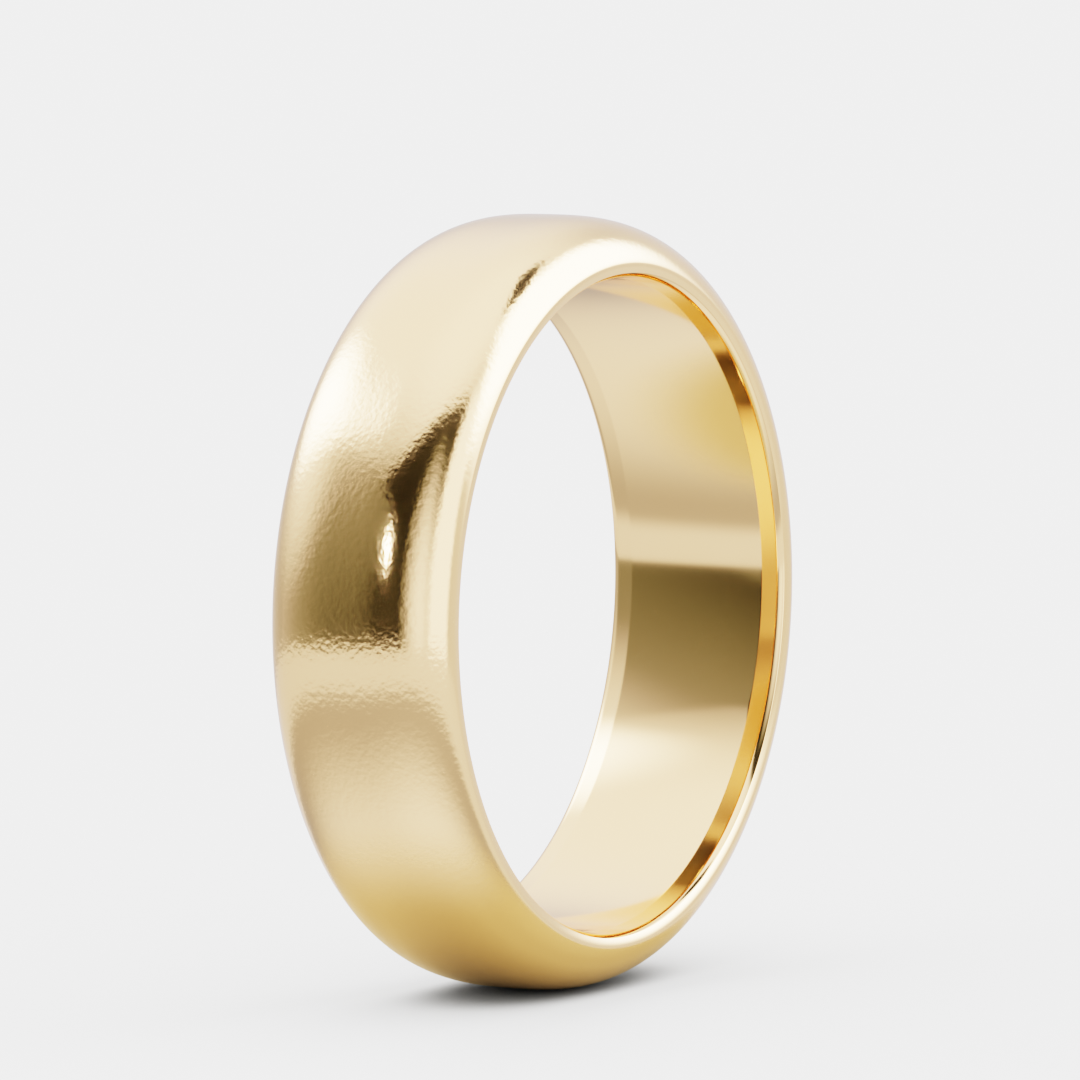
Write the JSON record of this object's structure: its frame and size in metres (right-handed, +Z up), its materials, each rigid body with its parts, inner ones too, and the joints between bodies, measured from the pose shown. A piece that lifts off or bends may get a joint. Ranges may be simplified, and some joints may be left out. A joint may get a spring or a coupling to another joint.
{
  "type": "wedding band",
  "caption": "Plain domed wedding band in yellow gold, one seamless ring with a comfort-curved polished bore and a very finely rippled outer face.",
  "frame": {"origin": "centre of the finger bore, which is also the centre of the bounding box", "axes": "+Y along the finger, through the bore; +Z up, with the band standing on its rim; +X to the right seen from -Y"},
  "size_m": [0.023, 0.006, 0.023],
  "materials": {
    "yellow_gold": "polished bore, very finely rippled polished outer face"
  },
  "bodies": {
    "root": {"band": "yellow_gold"}
  },
  "joints": []
}
